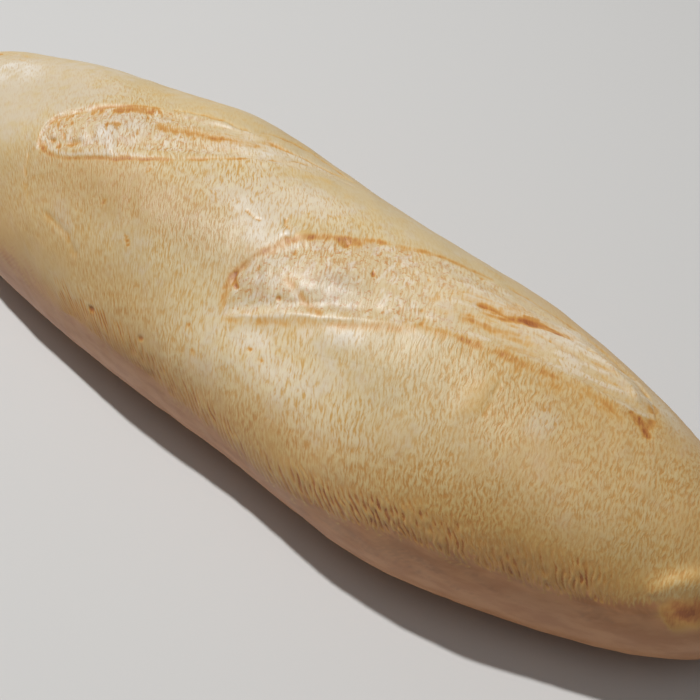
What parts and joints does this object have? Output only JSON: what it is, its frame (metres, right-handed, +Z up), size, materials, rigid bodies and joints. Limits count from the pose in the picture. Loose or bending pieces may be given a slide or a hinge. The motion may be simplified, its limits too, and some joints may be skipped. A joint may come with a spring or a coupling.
{
  "type": "loaf of bread",
  "caption": "Short white baguette-style loaf, baked in one piece, with slanting slashes across its ridge and a flat underside to rest on.",
  "frame": {"origin": "on the table, under the middle of the loaf's length, width and flat underside", "axes": "+X along the loaf towards the blunter end, +Y towards the side that the slashes' right ends lean to, +Z up through the ridge"},
  "size_m": [0.25, 0.0692, 0.0546],
  "materials": {
    "crust": null
  },
  "bodies": {
    "root": {"loaf": "crust"}
  },
  "joints": []
}
